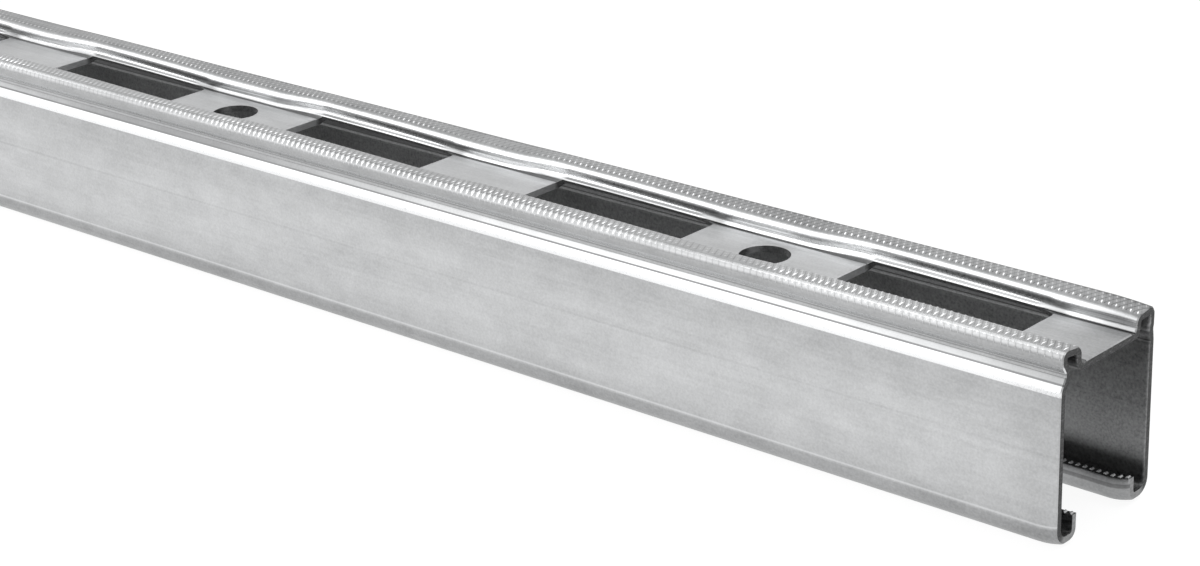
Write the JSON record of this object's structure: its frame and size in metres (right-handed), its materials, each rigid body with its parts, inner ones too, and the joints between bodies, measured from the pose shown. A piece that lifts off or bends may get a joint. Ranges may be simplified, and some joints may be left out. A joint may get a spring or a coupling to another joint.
{
  "type": "strut channel",
  "caption": "Slotted strut channel: a rolled steel rail with lips turned in at its mouth, two raised ribs on its back and slots and round holes in the web between them.",
  "frame": {"origin": "on the floor plane under the middle of the rail, midway between its side walls and its ends", "axes": "+X along the rail towards the end that the picture shows, +Z from the lips to the ribs on the back, +Y across the rail"},
  "size_m": [2, 0.041, 0.051],
  "materials": {
    "zinc": "pre-galvanised steel strip, soft grey sheen"
  },
  "bodies": {
    "root": {"channel": "zinc"}
  },
  "joints": []
}
